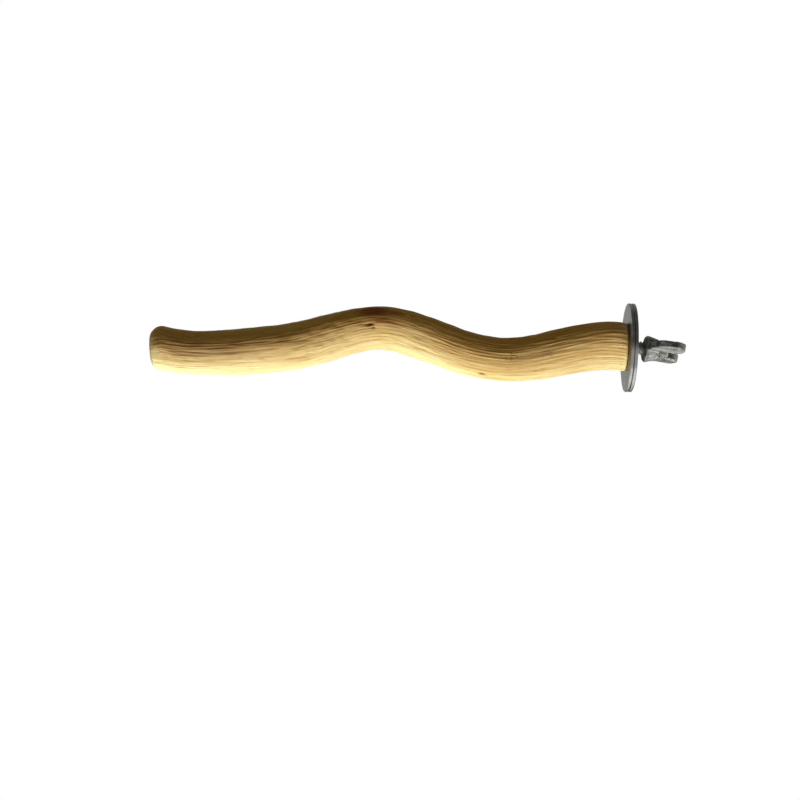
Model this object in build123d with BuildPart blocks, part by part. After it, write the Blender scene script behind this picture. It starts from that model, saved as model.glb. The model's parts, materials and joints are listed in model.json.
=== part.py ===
"""Bird perch: a wavy peeled branch that bolts to a cage between two wide washers.

The origin is on the washers' axis, in the plane where the two washers meet. +X runs out of the
wood towards the wing nut, +Z is up, and the branch lies along -X.
"""
import os
from math import cos, radians, sin, tan

from build123d import *

# Branch, in millimetres from here on
BRANCH_LENGTH = 134.5
BRANCH_THICKNESS = 13.6
BRANCH_FLATNESS = 0.97
BRANCH_WAVE = 10.0
FREE_END_CLIMB = 5.0
FREE_END_TILT = -6.0
FREE_END_ROUND = 3.2
SAWN_END_ROUND = 0.4

# Each bend: share of the way to the free end, rise and drift to the back as shares of the wave,
# share of the full thickness. The last one is past the free end, where the branch is sawn off.
BRANCH_BENDS = [
    (0.000, 0.002, 0.000, 0.990),
    (0.054, 0.025, 0.010, 1.005),
    (0.157, -0.265, 0.050, 0.975),
    (0.250, -0.448, 0.080, 0.910),
    (0.366, -0.188, 0.040, 0.920),
    (0.514, 0.312, -0.050, 0.902),
    (0.618, 0.008, -0.080, 0.957),
    (0.700, -0.302, -0.060, 0.981),
    (0.784, -0.460, -0.020, 0.980),
    (0.867, -0.550, 0.030, 0.933),
    (0.952, -0.517, 0.070, 0.945),
    (1.032, -0.465, 0.105, 0.955),
]

# Washers
WASHER_DIAMETER = 25.0
WASHER_THICKNESS = 1.0
WASHER_EDGE_ROUND = 0.25
WASHER_HOLE_SPARE = 0.9
WASHER_HANG_GAP = 0.05

# Hanger bolt: its stud leans down from the washers' axis, as it was driven into the wood
STUD_DIAMETER = 4.0
STUD_LEAN = 6.5
STUD_PAST_NUT = 2.6
STUD_END_CHAMFER = 0.5
BOLT_IN_WOOD = 17.5
BOLT_POINT_LENGTH = 4.5
BOLT_POINT_RADIUS = 0.3
BOLT_BED_CLEARANCE = 0.05

# Wing nut
NUT_STANDOFF = 2.8
NUT_TURN = -12.0
NUT_HEIGHT = 11.0
NUT_SPAN = 18.5
HUB_HEIGHT = 4.5
HUB_BASE_DIAMETER = 7.8
HUB_TOP_DIAMETER = 6.0
HUB_ROUND = 0.4
WING_ROOT_THICKNESS = 2.6
WING_TIP_THICKNESS = 2.0
WING_TIP_RADIUS = 3.0
WING_FOOT_HEIGHT = 0.9
WING_FOOT_SLOPE = 0.1
WING_SHOULDER_SLOPE = 0.3
WING_EDGE_ROUND = 0.45
WING_BLEND = 0.7
NUT_BORE_CLEARANCE = 0.05
NUT_BORE_CHAMFER = 0.4

# The stud's axis: the washers hang on the stud, so it passes a little above their centre
lean = radians(STUD_LEAN)
stud_radius = STUD_DIAMETER / 2
stud_slant_radius = stud_radius / cos(lean)
washer_hole_radius = stud_slant_radius + WASHER_THICKNESS * tan(lean) + WASHER_HOLE_SPARE / 2
stud_rise = WASHER_HOLE_SPARE / 2 - WASHER_HANG_GAP
stud_root = Vector(0, 0, stud_rise)
stud_direction = Vector(cos(lean), 0, -sin(lean))
stud_axis = Axis(stud_root, stud_direction)
stud_side_plane = Plane(stud_root, x_dir=stud_direction, z_dir=(0, -1, 0))

# Places along the stud, counted from the plane between the washers
nut_base = (WASHER_THICKNESS + NUT_STANDOFF) / cos(lean)
stud_end = nut_base + HUB_HEIGHT + STUD_PAST_NUT
wood_face = -WASHER_THICKNESS / cos(lean)
bolt_tip = wood_face - BOLT_IN_WOOD


def bolt_outline(clearance):
    """Half outline of the hanger bolt beside its axis, grown by a clearance."""
    radius = stud_radius + clearance
    Polyline(
        (bolt_tip - clearance, 0),
        (bolt_tip - clearance, BOLT_POINT_RADIUS + clearance),
        (bolt_tip + BOLT_POINT_LENGTH, radius),
        (stud_end - STUD_END_CHAMFER, radius),
        (stud_end, radius - STUD_END_CHAMFER),
        (stud_end, 0),
        close=True,
    )


def branch_points():
    """Centres of the branch at its bends, from the sawn end to the free end."""
    return [
        Vector(-WASHER_THICKNESS - share * BRANCH_LENGTH, drift * BRANCH_WAVE, rise * BRANCH_WAVE)
        for share, rise, drift, _ in BRANCH_BENDS
    ]


# Branch: lofted through a section at each bend, sawn off at the free end, rounded at both ends
# and drilled for the bolt
climb = radians(FREE_END_CLIMB)
tilt = radians(FREE_END_TILT)
free_end = (-WASHER_THICKNESS - BRANCH_LENGTH, 0, 0)
outward = (-cos(tilt), 0, sin(tilt))
with BuildLine():
    branch_line = Spline(*branch_points(), tangents=[(-1, 0, 0), (-cos(climb), 0, sin(climb))])

with BuildPart() as perch_branch:
    for centre, (_, _, _, thickness_share) in zip(branch_points(), BRANCH_BENDS):
        grain = branch_line.tangent_at(centre)
        half = BRANCH_THICKNESS * thickness_share / 2
        with BuildSketch(Plane(centre, x_dir=(0, 1, 0), z_dir=grain)):
            Ellipse(half * BRANCH_FLATNESS, half)
    loft()
    split(bisect_by=Plane(free_end, z_dir=outward), keep=Keep.BOTTOM)
    end_faces = perch_branch.faces().filter_by(GeomType.PLANE).sort_by(Axis.X)
    fillet(end_faces[0].edges(), FREE_END_ROUND)
    end_faces = perch_branch.faces().filter_by(GeomType.PLANE).sort_by(Axis.X)
    fillet(end_faces[-1].edges(), SAWN_END_ROUND)
    with BuildSketch(stud_side_plane):
        with BuildLine():
            bolt_outline(BOLT_BED_CLEARANCE)
        make_face()
    revolve(axis=stud_axis, mode=Mode.SUBTRACT)
perch_branch.part.label = "perch_branch"

# Hanger bolt: pointed in the wood, chamfered where the nut starts
with BuildPart() as hanger_bolt:
    with BuildSketch(stud_side_plane):
        with BuildLine():
            bolt_outline(0)
        make_face()
    revolve(axis=stud_axis)
hanger_bolt.part.label = "hanger_bolt"

# Inner washer: lies on the sawn end of the wood
with BuildPart() as inner_washer:
    with BuildSketch(Plane.YZ):
        Circle(WASHER_DIAMETER / 2)
        Circle(washer_hole_radius, mode=Mode.SUBTRACT)
    extrude(amount=-WASHER_THICKNESS)
    fillet(inner_washer.edges().filter_by(GeomType.CIRCLE), WASHER_EDGE_ROUND)
inner_washer.part.label = "inner_washer"

# Outer washer: the same washer, on the other side of the cage's bars
with BuildPart() as outer_washer:
    with BuildSketch(Plane.YZ):
        Circle(WASHER_DIAMETER / 2)
        Circle(washer_hole_radius, mode=Mode.SUBTRACT)
    extrude(amount=WASHER_THICKNESS)
    fillet(outer_washer.edges().filter_by(GeomType.CIRCLE), WASHER_EDGE_ROUND)
outer_washer.part.label = "outer_washer"

# Wing nut: two tapered wings on a conical hub, on the stud's axis
nut_plane = Plane(
    stud_root + stud_direction * nut_base,
    x_dir=Vector(0, 1, 0).rotate(stud_axis, NUT_TURN),
    z_dir=stud_direction,
)
wing_plane = Plane(nut_plane.origin, x_dir=nut_plane.x_dir, z_dir=-nut_plane.y_dir)
half_span = NUT_SPAN / 2
hub_base_radius = HUB_BASE_DIAMETER / 2
hub_top_radius = HUB_TOP_DIAMETER / 2
tip_centre = Vector(half_span - WING_TIP_RADIUS, NUT_HEIGHT - WING_TIP_RADIUS)
tip_outer = tip_centre + Vector(WING_TIP_RADIUS, 0)
tip_top = tip_centre + Vector(0, WING_TIP_RADIUS)
tip_inner = tip_centre - Vector(WING_TIP_RADIUS, 0)
wing_foot = Vector(hub_top_radius - HUB_ROUND, WING_FOOT_HEIGHT)
wing_shoulder = Vector(hub_top_radius - HUB_ROUND, HUB_HEIGHT - HUB_ROUND)
bore_radius = stud_radius + NUT_BORE_CLEARANCE
bore_mouth_radius = bore_radius + NUT_BORE_CHAMFER

with BuildPart() as wing_nut:
    with BuildSketch(wing_plane):
        with BuildLine():
            Spline(wing_foot, tip_outer, tangents=[(1, WING_FOOT_SLOPE), (0, 1)])
            ThreePointArc(tip_outer, tip_top, tip_inner)
            Spline(tip_inner, wing_shoulder, tangents=[(0, -1), (-1, -WING_SHOULDER_SLOPE)])
            Line(wing_shoulder, wing_foot)
        make_face()
        mirror(about=Plane.YZ)
    extrude(amount=WING_ROOT_THICKNESS / 2, both=True)
    with BuildSketch(nut_plane):
        with BuildLine():
            Polyline(
                (0, WING_ROOT_THICKNESS / 2),
                (half_span, WING_TIP_THICKNESS / 2),
                (half_span, -WING_TIP_THICKNESS / 2),
                (0, -WING_ROOT_THICKNESS / 2),
                (-half_span, -WING_TIP_THICKNESS / 2),
                (-half_span, WING_TIP_THICKNESS / 2),
                close=True,
            )
        make_face()
    extrude(amount=NUT_HEIGHT, mode=Mode.INTERSECT)
    fillet(wing_nut.edges().filter_by(GeomType.LINE, reverse=True), WING_EDGE_ROUND)
    with BuildSketch(wing_plane) as hub_side:
        with BuildLine():
            Polyline(
                (0, 0),
                (hub_base_radius, 0),
                (hub_top_radius, HUB_HEIGHT),
                (0, HUB_HEIGHT),
                close=True,
            )
        make_face()
        fillet(hub_side.vertices().sort_by(Axis.X)[-2:], HUB_ROUND)
    revolve(axis=stud_axis)
    fillet(wing_nut.edges(Select.NEW).filter_by(GeomType.CIRCLE, reverse=True), WING_BLEND)
    with BuildSketch(wing_plane):
        with BuildLine():
            Polyline(
                (0, 0),
                (bore_mouth_radius, 0),
                (bore_radius, NUT_BORE_CHAMFER),
                (bore_radius, HUB_HEIGHT - NUT_BORE_CHAMFER),
                (bore_mouth_radius, HUB_HEIGHT),
                (bore_mouth_radius, NUT_HEIGHT),
                (0, NUT_HEIGHT),
                close=True,
            )
        make_face()
    revolve(axis=stud_axis, mode=Mode.SUBTRACT)
wing_nut.part.label = "wing_nut"

os.makedirs("parts", exist_ok=True)
for piece in (perch_branch, hanger_bolt, inner_washer, outer_washer, wing_nut):
    export_step(piece.part, f"parts/{piece.part.label}.step")
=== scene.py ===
"""Bird perch: the looks of a wavy peeled branch, its hanger bolt, two wide washers and a wing nut.

Metres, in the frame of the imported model: the washers meet at the origin, +X runs out of the wood
towards the wing nut and +Z is up.
"""
import json
import math

import bpy
import numpy as np
from mathutils import Matrix, Vector, noise
from mathutils.bvhtree import BVHTree


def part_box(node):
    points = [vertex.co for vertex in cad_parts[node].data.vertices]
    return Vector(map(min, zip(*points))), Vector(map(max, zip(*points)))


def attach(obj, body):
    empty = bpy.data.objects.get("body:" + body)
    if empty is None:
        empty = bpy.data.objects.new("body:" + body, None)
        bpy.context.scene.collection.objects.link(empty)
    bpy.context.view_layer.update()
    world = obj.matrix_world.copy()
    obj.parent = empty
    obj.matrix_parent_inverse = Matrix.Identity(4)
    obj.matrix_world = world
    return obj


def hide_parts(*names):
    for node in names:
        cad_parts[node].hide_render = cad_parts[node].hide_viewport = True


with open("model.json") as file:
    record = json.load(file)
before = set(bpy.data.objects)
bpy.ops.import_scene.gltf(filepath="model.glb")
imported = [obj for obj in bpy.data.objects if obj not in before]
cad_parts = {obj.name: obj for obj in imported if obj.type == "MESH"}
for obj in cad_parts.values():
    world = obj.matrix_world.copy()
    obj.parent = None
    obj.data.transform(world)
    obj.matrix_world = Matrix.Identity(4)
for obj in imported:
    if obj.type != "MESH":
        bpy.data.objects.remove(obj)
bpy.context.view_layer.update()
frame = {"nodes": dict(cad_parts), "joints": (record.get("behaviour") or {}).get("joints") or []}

# Branch: a crooked stick of pale hardwood, peeled of its bark, dried and lightly sanded. It is sawn
# square at the clamp end, rounded over at the free end and drilled for the bolt. The wood under the
# bark keeps long ridges, which part round a knot on the hump.
MM = 0.001
RING_POINTS = 240
RING_STEP = 0.42 * MM
LINE_STEP = 2 * MM
LINE_SMOOTHING = 5 * MM
CASTING_REACH = 25 * MM
END_BLEND = 9 * MM
END_DEPTH = 4.2 * MM
END_RINGS = 16
SAWN_EDGE_DEPTHS = [0.005 * MM, 0.03 * MM, 0.1 * MM, 0.22 * MM, 0.45 * MM]

branch_tree = BVHTree.FromObject(frame["nodes"]["perch_branch"], bpy.context.evaluated_depsgraph_get())
free_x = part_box("perch_branch")[0].x
clamp_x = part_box("perch_branch")[1].x
ring_angles = np.linspace(-math.pi, math.pi, RING_POINTS, endpoint=False)
upwards = Vector((0, 0, 1))
backwards = Vector((0, 1, 0))
free_endwards = Vector((-1, 0, 0))


def cast_middle(start, direction):
    """Middle of the branch on a line across it: halfway between the hits from its two sides."""
    there = branch_tree.ray_cast(start - direction * CASTING_REACH, direction)[0]
    back = branch_tree.ray_cast(start + direction * CASTING_REACH, -direction)[0]
    return (there + back) / 2


def section_middle(x):
    """Middle of the branch's section at x."""
    height = cast_middle(Vector((x, 0, 0)), upwards).z
    return cast_middle(Vector((x, 0, height)), backwards)


def spokes_round(up, side, angles):
    """Unit vectors that point away from a line, at these angles round it."""
    return [up * math.sin(angle) - side * math.cos(angle) for angle in angles]


def cast_ring(middle, grain):
    """Points of the branch's surface round a middle, in the plane square to the grain."""
    side = (backwards - grain * grain.y).normalized()
    ring = []
    for spoke in spokes_round(side.cross(grain), side, ring_angles):
        ring.append(branch_tree.ray_cast(middle + spoke * CASTING_REACH, -spoke)[0])
    return np.array(ring)


def smooth_share(value, low, high):
    """0 below low, 1 above high and a smooth rise between them."""
    share = np.clip((value - low) / (high - low), 0, 1)
    return share * share * (3 - 2 * share)


# The middle line is smoothed by a parabola fitted near each place. Its last stretch turns square to
# the rounded end.
line_x = np.arange(clamp_x - LINE_STEP, free_x + END_DEPTH, -LINE_STEP)
line_middles = np.array([section_middle(x) for x in line_x])
past_end = Vector((free_x, *line_middles[-1][1:])) + free_endwards * CASTING_REACH
end_point, end_normal = branch_tree.ray_cast(past_end, -free_endwards)[:2]
last_x = (end_point - end_normal * END_DEPTH).x

edge_x = [clamp_x - edge_depth for edge_depth in SAWN_EDGE_DEPTHS]
step_count = round((clamp_x - last_x) / RING_STEP)
body_x = np.linspace(clamp_x - 2 * SAWN_EDGE_DEPTHS[-1], last_x, step_count)
middles = []
rings = []
for x in [*edge_x, *body_x]:
    nearness = np.exp(-(((line_x - x) / LINE_SMOOTHING) ** 2))
    _, slope, centre = np.polyfit(line_x - x, line_middles[:, 1:], 2, w=nearness)
    line_grain = Vector((-1, *-slope)).normalized()
    sawn_share = float(smooth_share(x, clamp_x - END_BLEND, clamp_x - SAWN_EDGE_DEPTHS[-1]))
    end_share = float(smooth_share(last_x + END_BLEND - x, 0, END_BLEND))
    grain = line_grain.lerp(free_endwards, sawn_share).lerp(end_normal, end_share).normalized()
    middles.append(Vector((x, *centre)))
    rings.append(cast_ring(middles[-1], grain))
end_shift = middles[-1] - end_point
end_shift -= end_normal * end_shift.dot(end_normal)
for end_ring in range(1, END_RINGS):
    ring_depth = END_DEPTH * (1 - math.sin(math.pi / 2 * end_ring / END_RINGS))
    middles.append(end_point - end_normal * ring_depth + end_shift)
    rings.append(cast_ring(middles[-1], end_normal))
end_middle = end_point + end_shift
middles = np.array(middles)
rings = np.array(rings)
lengths = np.concatenate([[0], np.cumsum(np.linalg.norm(np.diff(middles, axis=0), axis=1))])

# Relief on the straightened branch: broad lumps and knobbles, three sets of ridges, of which the two
# finer are stronger near the clamp, cross ripples by the hump and thin grooves in patches. Each noise
# has its fineness round the branch, its stretch along it and a seed.
LUMPS = (1.2, 17 * MM, 3.1)
KNOBBLES = (2.4, 4 * MM, 81.5)
RIDGES = (6.6, 20 * MM, 11.7)
FINE_RIDGES = (12.5, 11 * MM, 27.3)
THREAD_RIDGES = (20.0, 7 * MM, 33.6)
RIPPLES = (4.5, 1.5 * MM, 63.4)
GROOVES = (9.5, 14 * MM, 41.9)
GROOVE_PATCHES = (1.6, 14 * MM, 57.1)
DARK_SPECKS = (22.0, 0.7 * MM, 71.2)

# Depths, and how far lumps and ridges are sunk below the solid's surface, as a share of their depth
LUMP_DEPTH = 0.12 * MM
LUMP_SINK = 0.5
KNOBBLE_DEPTH = 0.12 * MM
RIDGE_DEPTH = 0.06 * MM
RIDGE_SINK = 0.4
FINE_RIDGE_DEPTH = 0.13 * MM
FINE_RIDGE_SINK = 0.2
THREAD_RIDGE_DEPTH = 0.06 * MM
FINE_STRENGTH = 0.8
CLAMP_STRENGTH = 0.7
CLAMP_REACH = 18 * MM
RIPPLE_DEPTH = 0.13 * MM
RIPPLE_PLACE = -84 * MM
RIPPLE_REACH = 11 * MM
GROOVE_DEPTH = 0.08 * MM
GROOVE_EDGE = (0.10, 0.01)
GROOVE_PATCH_EDGE = (-0.25, 0.25)
GROOVE_LEAST = 0.3
RELIEF_FADE = (-0.24 * MM, 1.2 * MM)

# The section isn't quite round: place along the branch, and how far its upper front stands out and its
# lower front stands in, in millimetres
SECTION_BULGES = [
    (0, 0.45),
    (-8, 0.42),
    (-18, 0.0),
    (-33, -0.25),
    (-52, 0.0),
    (-70, 0.45),
    (-92, 0.05),
    (-112, -0.2),
    (-136, -0.2),
]

# Knots and flecks: place along the branch, height angle, half length, half width and depth below the
# surface, in millimetres and degrees, then how dark and how warm the wood is there
KNOT_MARKS = [
    (-73.3, 9, 1.25, 0.45, 0.5, 1.0, 0.3),
    (-72.5, -1, 0.7, 0.3, 0.2, 0.8, 0.3),
    (-69.6, 12, 3.4, 0.8, -0.22, 0.0, 0.55),
    (-67.6, 5, 3.2, 0.3, 0.12, 0.45, 0.3),
    (-72.1, 50, 3.6, 1.6, 0.12, 0.45, 1.0),
    (-67.4, 46, 2.2, 0.6, 0.05, 0.1, 0.8),
    (-120.0, 10, 15.0, 3.4, 0.08, 0.2, 0.2),
    (-40.9, -53, 1.1, 0.42, 0.16, 0.95, 0.4),
    (-96.0, 118, 1.3, 0.7, 0.2, 0.9, 0.6),
    (-51.0, 205, 1.6, 0.8, 0.22, 0.9, 0.7),
    (-112.0, 250, 0.8, 0.4, 0.1, 0.8, 0.4),
]
KNOT_DARK_EDGE = (1.15, 0.45)
KNOT_WARM_EDGE = (1.9, 0.5)
GRAIN_PARTING = 0.05
PARTING_REACH = 2.6

# Smudges of fine dark specks: place along the branch, height angle, half length and half width
SMUDGES = [
    (-33.2, 5, 4.2, 1.9),
    (-23.3, 2, 3.0, 1.5),
    (-102.0, 160, 4.0, 2.2),
]
SMUDGE_DARKNESS = 0.85
SMUDGE_EDGE = (1.0, 0.2)
SPECK_EDGE = (0.02, 0.3)

outward = rings - middles[:, None]
radius = np.linalg.norm(outward, axis=2)
outward /= radius[:, :, None]
around = np.broadcast_to(ring_angles, radius.shape)
along = np.broadcast_to(lengths[:, None], radius.shape)


def grain_noise(fineness, stretch, seed):
    """Noise on the straightened branch, this fine around it and stretched along it."""
    places = np.dstack([np.cos(around) * fineness, np.sin(around) * fineness, along / stretch + seed])
    return np.array([noise.noise(place) for place in places.reshape(-1, 3)]).reshape(radius.shape)


def mark_reach(x, height_angle, half_length, half_width):
    """Distance from a mark's middle, 1 at its edge, and the angle from it round the branch."""
    mark_along = np.interp(-x * MM, -middles[:, 0], lengths)
    angle = (around - math.radians(height_angle) + math.pi) % (2 * math.pi) - math.pi
    reach = np.hypot((along - mark_along) / (half_length * MM), angle * radius / (half_width * MM))
    return reach, angle


def within(distance, outer, inner):
    """0 farther than outer, 1 nearer than inner and a smooth rise between them."""
    return smooth_share(-distance, -outer, -inner)


# The grain parts at each knot, so the angles round the branch change from knot to knot
dark = np.zeros(radius.shape)
warm = np.zeros(radius.shape)
hollow = np.zeros(radius.shape)
for x, height_angle, half_length, half_width, depth, darkness, warmth in KNOT_MARKS:
    knot_reach, knot_angle = mark_reach(x, height_angle, half_length, half_width)
    hollow += depth * MM * np.exp(-(knot_reach ** 2))
    dark = np.maximum(dark, darkness * within(knot_reach, *KNOT_DARK_EDGE))
    warm = np.maximum(warm, warmth * within(knot_reach, *KNOT_WARM_EDGE))
    around = around + GRAIN_PARTING * knot_angle * np.exp(-((knot_reach / PARTING_REACH) ** 2))

dark_specks = smooth_share(grain_noise(*DARK_SPECKS), *SPECK_EDGE)
for smudge in SMUDGES:
    smudge_reach = mark_reach(*smudge)[0]
    dark = np.maximum(dark, SMUDGE_DARKNESS * dark_specks * within(smudge_reach, *SMUDGE_EDGE))

bulge_places, bulge_depths = np.array(SECTION_BULGES).T * MM
bulge = np.interp(-middles[:, 0], -bulge_places, bulge_depths)
fine_relief = FINE_RIDGE_DEPTH * (grain_noise(*FINE_RIDGES) - FINE_RIDGE_SINK)
fine_relief += THREAD_RIDGE_DEPTH * grain_noise(*THREAD_RIDGES)
fine_relief *= FINE_STRENGTH + CLAMP_STRENGTH * np.exp(-((along / CLAMP_REACH) ** 2))
ripple_along = np.interp(-RIPPLE_PLACE, -middles[:, 0], lengths)
ripple_share = np.exp(-(((along - ripple_along) / RIPPLE_REACH) ** 2))
groove_patches = smooth_share(grain_noise(*GROOVE_PATCHES), *GROOVE_PATCH_EDGE)
grooves = within(np.abs(grain_noise(*GROOVES)), *GROOVE_EDGE)
grooves *= GROOVE_LEAST + (1 - GROOVE_LEAST) * groove_patches

relief = bulge[:, None] * np.sin(2 * ring_angles)
relief += LUMP_DEPTH * (grain_noise(*LUMPS) - LUMP_SINK)
relief += RIDGE_DEPTH * (grain_noise(*RIDGES) - RIDGE_SINK)
relief += fine_relief
relief += KNOBBLE_DEPTH * grain_noise(*KNOBBLES)
relief += RIPPLE_DEPTH * grain_noise(*RIPPLES) * ripple_share
relief -= GROOVE_DEPTH * grooves
relief -= hollow
end_distance = np.minimum(lengths, lengths[-1] - lengths)[:, None]
relief *= smooth_share(end_distance, *RELIEF_FADE)
rings += outward * relief[:, :, None]

# The bolt's bed is drilled along the stud's axis, which leans a little and is the one that the wing nut
# turns about. Bed, sawn face and the flat of the free end close the two ends.
BED_RADIUS = 2.05 * MM
BED_DEPTHS = [13 * MM, 6 * MM, 0.5 * MM]
BED_TIP_DEPTH = 17.5 * MM
FACE_SHARES = [0.25, 0.5, 0.75]
CAP_SHARES = [0.88, 0.74, 0.6, 0.46, 0.32, 0.18, 0.08]

nut_joint = next(joint for joint in frame["joints"] if joint["name"] == "wing_nut_turn")
stud_root = Vector(nut_joint["pos_m"])
stud_line = Vector(nut_joint["axis"]).normalized()
stud_up = stud_line.cross(backwards)
wood_face = (clamp_x - stud_root.x) / stud_line.x
bed_mouth = stud_root + stud_line * wood_face
bed_tip = bed_mouth - stud_line * BED_TIP_DEPTH
bed_spokes = np.array(spokes_round(stud_up, backwards, ring_angles)) * BED_RADIUS
bed_rings = [np.array(bed_mouth - stud_line * bed_depth) + bed_spokes for bed_depth in BED_DEPTHS]
bed_rim = np.array(bed_mouth) + bed_spokes
bed_rim -= np.array(stud_line) * ((bed_rim[:, 0] - clamp_x) / stud_line.x)[:, None]
face_rings = [bed_rim + (rings[0] - bed_rim) * share for share in FACE_SHARES]
inner_rings = [*bed_rings, bed_rim, *face_rings]
cap_rings = [np.array(end_middle) + (rings[-1] - np.array(end_middle)) * share for share in CAP_SHARES]


def make_piece(name, points, faces):
    """A smooth-shaded mesh from its points and faces, in the scene."""
    mesh = bpy.data.meshes.new(name)
    mesh.from_pydata([tuple(point) for point in points], [], faces)
    mesh.shade_smooth()
    piece = bpy.data.objects.new(name, mesh)
    bpy.context.scene.collection.objects.link(piece)
    return piece


def skin(name, hoops, tip, tail):
    """A closed mesh over hoops of points, with a single point past the first and the last hoop."""
    count = len(hoops[0])
    points = [tip, *np.concatenate(hoops), tail]
    last = 1 + (len(hoops) - 1) * count
    faces = []
    for step in range(count):
        following = (step + 1) % count
        faces.append((0, 1 + following, 1 + step))
        faces.append((last + step, last + following, len(points) - 1))
        for low in range(1, last, count):
            high = low + count
            faces.append((low + step, low + following, high + following, high + step))
    return make_piece(name, points, faces)


def paint(piece, name, values):
    """Keeps a vector for each point of a piece, for its finish to read."""
    layer = piece.data.attributes.new(name, "FLOAT_VECTOR", "POINT")
    layer.data.foreach_set("vector", np.asarray(values, np.float32).ravel())


# Each point keeps its place in the straightened stick, in millimetres, and its groove, dark and warm
branch = skin("peeled_branch", [*inner_rings, *rings, *cap_rings], bed_tip, end_middle)
ring_cos = np.cos(ring_angles)
ring_sin = np.sin(ring_angles)
body_places = np.dstack([ring_cos * radius, ring_sin * radius, along]) / MM
inner_places = []
for ring in inner_rings:
    from_middle = np.linalg.norm(ring - middles[0], axis=1) / MM
    inner_places.append(np.column_stack([ring_cos * from_middle, ring_sin * from_middle, 0 * from_middle]))
cap_places = [body_places[-1] * (share, share, 1) for share in CAP_SHARES]
tail_place = (0, 0, lengths[-1] / MM)
places = [[(0, 0, 0)], *inner_places, *body_places, *cap_places, [tail_place]]
paint(branch, "grain", np.concatenate(places))
inner_marks = np.zeros((1 + len(inner_rings) * RING_POINTS, 3))
body_marks = np.dstack([grooves, dark, warm]).reshape(-1, 3)
cap_marks = np.zeros((len(cap_rings) * RING_POINTS + 1, 3))
paint(branch, "marks", np.concatenate([inner_marks, body_marks, cap_marks]))


class Shade:
    """A socket of a finish that takes Python arithmetic: each step adds a Math node."""

    def __init__(self, tree, socket=None):
        self.tree = tree
        self.socket = socket

    def node(self, kind, settings, sockets, output=0):
        """Adds a node with its settings, and with values or links on its sockets."""
        made = self.tree.nodes.new("ShaderNode" + kind)
        for name, value in settings.items():
            setattr(made, name, value)
        for name, value in sockets.items():
            if isinstance(value, Shade):
                self.tree.links.new(value.socket, made.inputs[name])
            else:
                made.inputs[name].default_value = value
        return Shade(self.tree, made.outputs[output] if made.outputs else None)

    def math(self, operation, *terms):
        """Adds a Math node on these terms."""
        return self.node("Math", {"operation": operation}, dict(enumerate(terms)))

    def __add__(self, other):
        return self.math("ADD", self, other)

    def __sub__(self, other):
        return self.math("SUBTRACT", self, other)

    def __rsub__(self, other):
        return self.math("SUBTRACT", other, self)

    def __mul__(self, other):
        return self.math("MULTIPLY", self, other)

    __radd__ = __add__
    __rmul__ = __mul__


SPECKLE_ROUGHNESS = 0.55


def new_finish(name):
    """An empty material and the Shade that its nodes start from."""
    finish = bpy.data.materials.new(name)
    finish.use_nodes = True
    finish.node_tree.nodes.clear()
    return finish, Shade(finish.node_tree)


def speckle(place, scale, detail, seed):
    """Noise at this scale along each axis of a place."""
    spot = place.node("VectorMath", {"operation": "MULTIPLY_ADD"}, {0: place, 1: scale, 2: (seed,) * 3})
    return spot.node("TexNoise", {}, {
        "Vector": spot, "Scale": 1.0, "Detail": detail, "Roughness": SPECKLE_ROUGHNESS,
    })


def rise(value, low, high):
    """0 below low, 1 above high and a smooth rise between them, as nodes."""
    return value.node("MapRange", {"interpolation_type": "SMOOTHSTEP"}, {
        "Value": value, "From Min": low, "From Max": high,
    })


def tint(factor, low, high):
    """From one colour to another by a factor."""
    return factor.node("Mix", {"data_type": "RGBA"}, {0: factor, 6: low, 7: high}, 2)


# Finish of the wood: pale sapwood with tan streaks along the grain, paler towards the free end, with
# brown grooves, growth rings on the ends and painted shade along the sawn edge. Lengths are in
# millimetres.
SAPWOOD = (0.87, 0.67, 0.32, 1)
TAN_WOOD = (0.73, 0.50, 0.19, 1)
PALE_WOOD = (0.96, 0.80, 0.48, 1)
GROOVE_BROWN = (0.45, 0.25, 0.08, 1)
KNOT_BROWN = (0.10, 0.035, 0.012, 1)
WARM_WOOD = (0.50, 0.18, 0.07, 1)
END_WOOD = (0.62, 0.40, 0.17, 1)
RING_BROWN = (0.40, 0.21, 0.08, 1)
# Painted shade: the brown of the sawn edge next to the washer, standing in for the shade in the crevice
# there
SAWN_EDGE_SHADE_BROWN = (0.48, 0.20, 0.06, 1)
STREAK_SHARE = 0.62
STREAK_EDGE = (0.38, 0.60)
PALE_SHARE = 0.28
PALE_STRETCH = (55, 135)
FIBRE_SHARE = 0.45
FIBRE_EDGE = (0.5, 0.72)
FLECK_SHARE = 0.5
FLECK_EDGE = (0.64, 0.78)
GROOVE_SHARE = 0.5
GROWTH_WIDTH = 0.8
GROWTH_WAVER = 1.6
GROWTH_SHARE = 0.7
GROWTH_EDGE = (0.2, 0.9)
END_GRAIN_EDGE = (4.6, 5.5)
SAWN_EDGE_SHADE_SHARE = 0.7
SAWN_EDGE_SHADE_REACH = (0.05, 0.5)
WARM_SHARE = 0.9
WOOD_ROUGHNESS = 0.56
FIBRE_ROUGHNESS = 0.22
WOOD_GLOSS = 0.3
FIBRE_HEIGHT = 0.7
FLECK_HEIGHT = 0.3
WOOD_BUMP_STRENGTH = 0.6
WOOD_BUMP_DEPTH = 0.1 * MM

wood, wood_shade = new_finish("peeled_wood")
stick = wood_shade.node("Attribute", {"attribute_name": "grain"}, {}, "Vector")
mark = wood_shade.node("Attribute", {"attribute_name": "marks"}, {}, "Vector")
groove_mark = mark.node("SeparateXYZ", {}, {0: mark}, 0)
dark_mark = mark.node("SeparateXYZ", {}, {0: mark}, 1)
warm_mark = mark.node("SeparateXYZ", {}, {0: mark}, 2)
from_clamp = stick.node("SeparateXYZ", {}, {0: stick}, 2)
across = stick.node("VectorMath", {"operation": "MULTIPLY"}, {0: stick, 1: (1, 1, 0)})
from_pith = across.node("VectorMath", {"operation": "LENGTH"}, {0: across}, "Value")

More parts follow.
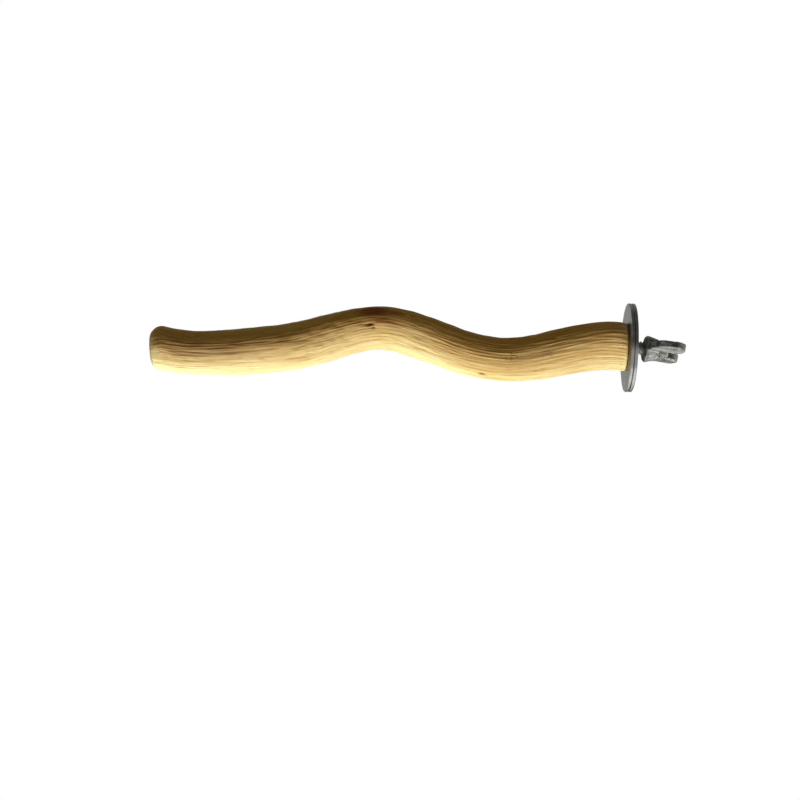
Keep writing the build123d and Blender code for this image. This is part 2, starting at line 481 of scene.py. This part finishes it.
streaks = speckle(stick, (0.75, 0.75, 0.045), detail=4, seed=3)
fibres = speckle(stick, (3.4, 3.4, 0.3), detail=3, seed=9)
flecks = speckle(stick, (2.2, 2.2, 0.45), detail=2, seed=43)
blotches = speckle(stick, (0.16, 0.16, 0.06), detail=2, seed=17)
waver = speckle(stick, (0.35, 0.35, 0.03), detail=2, seed=23)
growth_phase = (from_pith + waver * GROWTH_WAVER) * (2 * math.pi / GROWTH_WIDTH)
growth = growth_phase.math("SINE", growth_phase)
end_grain = 1 - rise(from_pith, *END_GRAIN_EDGE)
end_colour = tint(rise(growth, *GROWTH_EDGE) * GROWTH_SHARE, END_WOOD, RING_BROWN)
# Painted shade: the sawn edge next to the washer is tinted dark brown, as the shade in the crevice there
sawn_edge_shade = 1 - rise(from_clamp, *SAWN_EDGE_SHADE_REACH)

streak_mix = streaks * STREAK_SHARE + blotches * (1 - STREAK_SHARE)
colour = tint(rise(streak_mix, *STREAK_EDGE), TAN_WOOD, SAPWOOD)
colour = tint(rise(from_clamp, *PALE_STRETCH) * PALE_SHARE, colour, PALE_WOOD)
colour = tint(rise(fibres, *FIBRE_EDGE) * FIBRE_SHARE, colour, TAN_WOOD)
colour = tint(rise(flecks, *FLECK_EDGE) * FLECK_SHARE, colour, GROOVE_BROWN)
colour = tint(groove_mark * GROOVE_SHARE, colour, GROOVE_BROWN)
colour = tint(end_grain, colour, end_colour)
colour = tint(sawn_edge_shade * SAWN_EDGE_SHADE_SHARE, colour, SAWN_EDGE_SHADE_BROWN)
colour = tint(warm_mark * WARM_SHARE, colour, WARM_WOOD)
colour = tint(dark_mark, colour, KNOT_BROWN)
wood_bump = wood_shade.node("Bump", {}, {
    "Height": fibres * FIBRE_HEIGHT - flecks * FLECK_HEIGHT,
    "Strength": WOOD_BUMP_STRENGTH,
    "Distance": WOOD_BUMP_DEPTH,
})
wood_surface = wood_shade.node("BsdfPrincipled", {}, {
    "Base Color": colour,
    "Roughness": WOOD_ROUGHNESS + fibres * FIBRE_ROUGHNESS,
    "Specular IOR Level": WOOD_GLOSS,
    "Normal": wood_bump,
})
wood_shade.node("OutputMaterial", {}, {"Surface": wood_surface})
branch.data.materials.append(wood)
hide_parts("perch_branch")
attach(branch, "perch")

# Hanger bolt: a zinc-plated steel stud with a rolled M4 thread outside the wood and a coarse screw
# thread that is driven into it. The nut runs on the fine thread.
STUD_RADIUS = 1.98 * MM
STUD_ROOT_RADIUS = 1.56 * MM
STUD_PITCH = 0.7 * MM
STUD_END_CHAMFER = 0.5 * MM
SCREW_ROOT_RADIUS = 1.4 * MM
SCREW_PITCH = 1.7 * MM
SCREW_POINT = 4.5 * MM
SCREW_START = 0.05 * MM
SCREW_BLUNTING = 0.6 * MM
THREAD_POINTS = 40
THREAD_STEPS = 14
THREAD_FLAT = 0.12

bolt_points = frame["nodes"]["hanger_bolt"].data.vertices
bolt_reach = [(point.co - stud_root).dot(stud_line) for point in bolt_points]
bolt_tip = min(bolt_reach)
bolt_end = max(bolt_reach)


def thread_radius(turns, root, crest):
    """Radius of a rolled thread after this many turns: flats at root and crest, flanks between."""
    flank = abs(2 * (turns % 1) - 1)
    return root + (crest - root) * np.clip((flank - THREAD_FLAT) / (1 - 2 * THREAD_FLAT), 0, 1)


thread_angles = np.linspace(-math.pi, math.pi, THREAD_POINTS, endpoint=False)
thread_turns = thread_angles / (2 * math.pi)
thread_spokes = np.array(spokes_round(stud_up, backwards, thread_angles))
screw_steps = np.arange(bolt_tip + SCREW_START, wood_face, SCREW_PITCH / THREAD_STEPS)
stud_steps = np.arange(wood_face, bolt_end, STUD_PITCH / THREAD_STEPS)
thread_rings = []
for bolt_step in [*screw_steps, *stud_steps, bolt_end]:
    if bolt_step < wood_face:
        size = thread_radius(bolt_step / SCREW_PITCH - thread_turns, SCREW_ROOT_RADIUS, STUD_RADIUS)
        taper = STUD_RADIUS * (bolt_step - bolt_tip + SCREW_BLUNTING) / SCREW_POINT
    else:
        size = thread_radius(bolt_step / STUD_PITCH - thread_turns, STUD_ROOT_RADIUS, STUD_RADIUS)
        taper = STUD_RADIUS - STUD_END_CHAMFER + (bolt_end - bolt_step)
    size = np.minimum(size, taper)
    thread_rings.append(np.array(stud_root + stud_line * bolt_step) + thread_spokes * size[:, None])
stud_face = stud_root + stud_line * bolt_end
screw_tip = stud_root + stud_line * bolt_tip
bolt = skin("hanger_bolt_thread", thread_rings[::-1], stud_face, screw_tip)

# Finish of the plated steel: grey zinc, duller in blotches, with fine rolling marks and dark specks
ZINC = (0.42, 0.42, 0.405, 1)
DULL_ZINC = (0.27, 0.27, 0.255, 1)
# Dark zinc for the real specks in the plating, and as painted shade on the washers' rims
ZINC_SPECK_AND_SHADE = (0.10, 0.10, 0.09, 1)
EDGE_TINT = (0.40, 0.40, 0.39, 1)
ZINC_BLOTCHES = (260, 260, 260)
ZINC_BLOTCH_SHARE = 0.6
ZINC_BLOTCH_EDGE = (0.36, 0.62)
ZINC_BLOTCH_ROUGHNESS = 0.2
ZINC_SPECKS = (2600, 2600, 2600)
ZINC_SPECK_SHARE = 0.5
ZINC_SPECK_EDGE = (0.68, 0.8)
ZINC_SPECK_HEIGHT = 0.4
BOLT_MARKS = (900, 900, 900)
BOLT_ROUGHNESS = 0.18
BOLT_BUMP = 0.008 * MM


def zinc_finish(name, clean, dull, marks, roughness, bump_depth, rim=None):
    """Plated metal with marks at this scale. A rim, where given, is darkened with painted shade from one
    radius to another by a share.
    """
    finish, shade = new_finish(name)
    spot = shade.node("TexCoord", {}, {}, "Object")
    blotch = speckle(spot, ZINC_BLOTCHES, detail=3, seed=5)
    rolling = speckle(spot, marks, detail=3, seed=31)
    specks = speckle(spot, ZINC_SPECKS, detail=1, seed=7)
    dulling = blotch * ZINC_BLOTCH_SHARE + rolling * (1 - ZINC_BLOTCH_SHARE)
    plating = tint(rise(dulling, *ZINC_BLOTCH_EDGE), dull, clean)
    plating = tint(rise(specks, *ZINC_SPECK_EDGE) * ZINC_SPECK_SHARE, plating, ZINC_SPECK_AND_SHADE)
    # Painted shade: a washer's rim is darkened towards its edge, standing in for the dark room that it
    # mirrors
    if rim:
        rim_start, rim_end, rim_shade_share = rim
        from_axis = shade.node("VectorMath", {"operation": "MULTIPLY"}, {0: spot, 1: (0, 1, 1)})
        from_axis = shade.node("VectorMath", {"operation": "LENGTH"}, {0: from_axis}, "Value")
        plating = tint(rise(from_axis, rim_start, rim_end) * rim_shade_share, plating, ZINC_SPECK_AND_SHADE)
    bump = shade.node("Bump", {}, {
        "Height": rolling + specks * ZINC_SPECK_HEIGHT, "Distance": bump_depth,
    })
    metal = shade.node("BsdfPrincipled", {}, {
        "Base Color": plating,
        "Metallic": 1.0,
        "Roughness": roughness + blotch * ZINC_BLOTCH_ROUGHNESS,
        "Specular Tint": EDGE_TINT,
        "Normal": bump,
    })
    shade.node("OutputMaterial", {}, {"Surface": metal})
    return finish


bolt_finish = zinc_finish("zinc_bolt", ZINC, DULL_ZINC, BOLT_MARKS, BOLT_ROUGHNESS, BOLT_BUMP)
bolt.data.materials.append(bolt_finish)
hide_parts("hanger_bolt")
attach(bolt, "perch")

# Washers: two wide penny washers stamped from zinc-plated sheet, with the rolling marks of the sheet.
# One lies on the wood, the other on the far side of the cage's bars, and the wing nut pulls them
# together. Each is a section with rounded edges, turned about the X axis.
WASHER_EDGE = 0.32 * MM
WASHER_EDGE_STEPS = 6
WASHER_FACE_SHARES = [0.03, 0.35, 0.65, 0.97]
WASHER_POINTS = 192
WASHER_SEAT = 0.01 * MM
WASHER_MARKS = (300, 2400, 240)
WASHER_ROUGHNESS = 0.2
WASHER_BUMP = 0.009 * MM
# How much painted shade darkens the washers' outer rims
RIM_PAINTED_SHADE = 0.5


def washer_section(x_low, x_high, hole, rim):
    """Places along X and radii round a washer's section, with its four edges rounded."""
    low = x_low + WASHER_EDGE
    high = x_high - WASHER_EDGE
    corners = [
        (high, rim - WASHER_EDGE),
        (low, rim - WASHER_EDGE),
        (low, hole + WASHER_EDGE),
        (high, hole + WASHER_EDGE),
    ]
    outline = []
    for quarter, (x, size) in enumerate(corners):
        for step in range(WASHER_EDGE_STEPS + 1):
            angle = math.pi / 2 * (quarter + step / WASHER_EDGE_STEPS)
            outline.append((x + WASHER_EDGE * math.cos(angle), size + WASHER_EDGE * math.sin(angle)))
        next_size = corners[(quarter + 1) % len(corners)][1]
        if next_size != size:
            face_x = outline[-1][0]
            outline += [(face_x, size + (next_size - size) * share) for share in WASHER_FACE_SHARES]
    return outline


def turned(name, outline, count_round):
    """A ring-shaped mesh: an outline of places along X and radii, turned about the X axis."""
    points = []
    for step in range(count_round):
        angle = 2 * math.pi * step / count_round
        points += [(x, size * math.cos(angle), size * math.sin(angle)) for x, size in outline]
    count = len(outline)
    faces = []
    for low in range(0, len(points), count):
        high = (low + count) % len(points)
        for step in range(count):
            following = (step + 1) % count
            faces.append((low + step, low + following, high + following, high + step))
    return make_piece(name, points, faces)


# The washers' rims are darkened with painted shade on their outer edge
washer_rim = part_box("inner_washer")[1].z
rim_painted_shade = (washer_rim - WASHER_EDGE, washer_rim, RIM_PAINTED_SHADE)
washer_finish = zinc_finish(
    "zinc_washer", ZINC, DULL_ZINC, WASHER_MARKS, WASHER_ROUGHNESS, WASHER_BUMP, rim_painted_shade,
)
for washer_name in ("inner_washer", "outer_washer"):
    washer_low, washer_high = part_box(washer_name)
    washer_points = frame["nodes"][washer_name].data.vertices
    hole = min(math.hypot(point.co.y, point.co.z) for point in washer_points)
    section = washer_section(washer_low.x + WASHER_SEAT, washer_high.x - WASHER_SEAT, hole, washer_high.z)
    washer = turned(washer_name + "_stamped", section, WASHER_POINTS)
    washer.data.materials.append(washer_finish)
    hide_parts(washer_name)
    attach(washer, washer_name)

# Wing nut: die-cast zinc with a dull plating, two ears to turn by hand and a tapped hub. The casting is
# lumpy and pitted and its base is rounded over. Only the bore is smooth.
NUT_MESH_STEP = 0.11 * MM
NUT_WELD = 0.001 * MM
NUT_FOOT = 4 * NUT_MESH_STEP
HUB_BASE_ROUND = 1.2 * MM
HUB_BASE_BLEND = 1 * MM
NUT_LUMP_SIZE = 1.7 * MM
NUT_LUMP_DEPTH = 0.16 * MM
NUT_PIT_SIZE = 0.8 * MM
NUT_PIT_DEPTH = 0.06 * MM
NUT_SINK = 0.1
BORE_SMOOTH = STUD_RADIUS + 0.4 * MM
BORE_FADE = STUD_RADIUS + 1.2 * MM
CAST_ZINC = (0.35, 0.355, 0.33, 1)
DULL_CAST = (0.08, 0.083, 0.07, 1)
CAST_MARKS = (700, 700, 700)
CAST_ROUGHNESS = 0.36
CAST_BUMP = 0.05 * MM

nut = bpy.data.objects.new("wing_nut_cast", frame["nodes"]["wing_nut"].data.copy())
bpy.context.scene.collection.objects.link(nut)
nut.modifiers.new("joined", "WELD").merge_threshold = NUT_WELD
even_mesh = nut.modifiers.new("even", "REMESH")
even_mesh.mode = "VOXEL"
even_mesh.voxel_size = NUT_MESH_STEP
casting = bpy.data.meshes.new_from_object(nut.evaluated_get(bpy.context.evaluated_depsgraph_get()))
nut.modifiers.clear()
nut.data = casting
nut_points = np.array([vertex.co for vertex in casting.vertices])
nut_normals = np.array([vertex.normal for vertex in casting.vertices])

# The edge of the hub's base is drawn in onto a round, then lumps and pits go along the normals
along_stud = (nut_points - np.array(stud_root)) @ np.array(stud_line)
from_stud = nut_points - np.array(stud_root) - along_stud[:, None] * np.array(stud_line)
stud_distance = np.linalg.norm(from_stud, axis=1)
nut_base = along_stud.min()
base_radius = stud_distance[along_stud < nut_base + NUT_FOOT].max()
round_out = stud_distance - (base_radius - HUB_BASE_ROUND)
round_back = along_stud - nut_base - HUB_BASE_ROUND
drawn_in = 1 - np.minimum(HUB_BASE_ROUND / np.hypot(round_out, round_back), 1)
drawn_in = np.where((round_out > 0) & (round_back < 0), drawn_in, 0)
drawn_in *= 1 - smooth_share(stud_distance, base_radius, base_radius + HUB_BASE_BLEND)
nut_points -= from_stud / stud_distance[:, None] * (round_out * drawn_in)[:, None]
nut_points -= np.array(stud_line) * (round_back * drawn_in)[:, None]
nut_lumps = np.array([noise.noise(point / NUT_LUMP_SIZE) for point in nut_points])
nut_pits = np.array([noise.noise(point / NUT_PIT_SIZE) for point in nut_points])
cast_relief = NUT_LUMP_DEPTH * (nut_lumps - NUT_SINK) + NUT_PIT_DEPTH * (nut_pits - NUT_SINK)
cast_relief *= smooth_share(stud_distance, BORE_SMOOTH, BORE_FADE)
nut_points += nut_normals * cast_relief[:, None]
casting.vertices.foreach_set("co", nut_points.ravel())
casting.shade_smooth()
casting.materials.clear()
casting.materials.append(
    zinc_finish("cast_zinc", CAST_ZINC, DULL_CAST, CAST_MARKS, CAST_ROUGHNESS, CAST_BUMP)
)
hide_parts("wing_nut")
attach(nut, "wing_nut")

# Floor and room: a white sweep under and behind the perch, whiter with distance, in a dim warm room.
# Metal mirrors the sweep on one side and a darker studio on the other.
FLOOR_DEPTH = 0.26
FLOOR_HALF = 12.0
FLOOR_CORNERS = [(-1, -1), (1, -1), (1, 1), (-1, 1)]
FLOOR_SHIFT = (0.06, 0, 0)
NEAR_FLOOR = 0.18
FAR_FLOOR = 0.5
FLOOR_GLOW = 0.85
FLOOR_WHITE = (0.9, 0.9, 0.9, 1)
WHITE = (1, 1, 1, 1)
ROOM_COLOUR = (1.0, 0.68, 0.19, 1)
ROOM_LEVEL = 0.097
DARK_SIDE = (0.19, 0.19, 0.175, 1)
SWEEP_SIDE = (0, 0.75, -0.66)
SWEEP_EDGE = (-0.35, 0.15)


def ray_kinds(shade):
    """1 where a camera ray, a mirrored ray or a ray through something clear arrives."""
    kinds = ("Is Camera Ray", "Is Glossy Ray", "Is Transmission Ray")
    return [shade.node("LightPath", {}, {}, kind) for kind in kinds]


floor_points = [(x * FLOOR_HALF, y * FLOOR_HALF, -FLOOR_DEPTH) for x, y in FLOOR_CORNERS]
floor = make_piece("floor", floor_points, [(0, 1, 2, 3)])
floor_finish, floor_shade = new_finish("floor_white")
camera_ray, glossy_ray, clear_ray = ray_kinds(floor_shade)
floor_spot = floor_shade.node("TexCoord", {}, {}, "Object")
floor_spot = floor_spot.node("VectorMath", {"operation": "MULTIPLY_ADD"}, {
    0: floor_spot, 1: (1, 1, 0), 2: FLOOR_SHIFT,
})
floor_reach = floor_spot.node("VectorMath", {"operation": "LENGTH"}, {0: floor_spot}, "Value")
glow = FLOOR_GLOW + (1 - FLOOR_GLOW) * rise(floor_reach, NEAR_FLOOR, FAR_FLOOR)
seen = camera_ray.math("MAXIMUM", camera_ray, glossy_ray)
seen = seen.math("MAXIMUM", seen, clear_ray)
floor_plain = floor_shade.node("BsdfDiffuse", {}, {"Color": FLOOR_WHITE})
floor_light = floor_shade.node("Emission", {}, {"Color": WHITE, "Strength": 1.0})
floor_mix = floor_shade.node("MixShader", {}, {0: seen * glow, 1: floor_plain, 2: floor_light})
floor_shade.node("OutputMaterial", {}, {"Surface": floor_mix})
floor.data.materials.append(floor_finish)

world = bpy.data.worlds.new("studio")
bpy.context.scene.world = world
world.use_nodes = True
world.node_tree.nodes.clear()
world_shade = Shade(world.node_tree)
camera_ray, glossy_ray, clear_ray = ray_kinds(world_shade)
heading = world_shade.node("TexCoord", {}, {}, "Generated")
sweep_share = heading.node("VectorMath", {"operation": "DOT_PRODUCT"}, {
    0: heading, 1: SWEEP_SIDE,
}, "Value")
seen = camera_ray.math("MAXIMUM", camera_ray, glossy_ray * rise(sweep_share, *SWEEP_EDGE))
seen = seen.math("MAXIMUM", seen, clear_ray)
room = world_shade.node("Background", {}, {"Color": ROOM_COLOUR, "Strength": ROOM_LEVEL})
dark_side = world_shade.node("Background", {}, {"Color": DARK_SIDE, "Strength": 1.0})
backdrop = world_shade.node("Background", {}, {"Color": WHITE, "Strength": 1.0})
studio = world_shade.node("MixShader", {}, {0: glossy_ray, 1: room, 2: dark_side})
studio = world_shade.node("MixShader", {}, {0: seen, 1: studio, 2: backdrop})
world_shade.node("OutputWorld", {}, {"Surface": studio})

# Lamps: a key lamp in front and below, a cool low one towards the free end, one that only metal mirrors
# and one behind. Each has its place, length and width, power, colour, and whether it lights surfaces
# and whether it shows in metal.
OBJECT_MIDDLE = Vector((-0.062, 0, -0.002))
LAMPS = [
    ("key_lamp", (-0.095, -0.12, -0.21), (0.36, 0.08), 0.66, (1, 0.81, 0.62), True, False),
    ("low_lamp", (-0.19, 0.04, -0.22), (0.32, 0.08), 0.84, (0.33, 0.79, 1), True, False),
    ("shine_lamp", (-0.03, 0.02, -0.19), (0.36, 0.24), 0.40, (1, 1, 1), False, True),
    ("back_lamp", (-0.062, 0.48, 0.07), (0.5, 0.2), 1.6, (1, 0.98, 0.95), True, False),
]
for lamp_name, lamp_place, (lamp_length, lamp_width), power, lamp_colour, lights, shows in LAMPS:
    light = bpy.data.lights.new(lamp_name, "AREA")
    light.shape = "RECTANGLE"
    light.size = lamp_length
    light.size_y = lamp_width
    light.energy = power
    light.color = lamp_colour
    lamp = bpy.data.objects.new(lamp_name, light)
    bpy.context.scene.collection.objects.link(lamp)
    lamp.location = lamp_place
    lamp.rotation_euler = (OBJECT_MIDDLE - Vector(lamp_place)).to_track_quat("-Z", "Y").to_euler()
    lamp.visible_camera = False
    lamp.visible_diffuse = lights
    lamp.visible_glossy = shows

# Camera: it stands level, in front of the perch and a little below it, and is rolled a little
CAMERA_PLACE = (-0.06415, -0.502, -0.01697)
CAMERA_ROLL = math.radians(2)
CAMERA_LENS = 80.1
CAMERA_SENSOR = 36
CAMERA_NEAR = 0.01
camera_data = bpy.data.cameras.new("camera")
camera_data.lens = CAMERA_LENS
camera_data.sensor_width = CAMERA_SENSOR
camera_data.clip_start = CAMERA_NEAR
camera = bpy.data.objects.new("camera", camera_data)
bpy.context.scene.collection.objects.link(camera)
camera_turn = Matrix.Rotation(-CAMERA_ROLL, 4, "Y") @ Matrix.Rotation(math.pi / 2, 4, "X")
camera.matrix_world = Matrix.Translation(CAMERA_PLACE) @ camera_turn
bpy.context.scene.camera = camera
bpy.context.scene.view_settings.view_transform = "Standard"
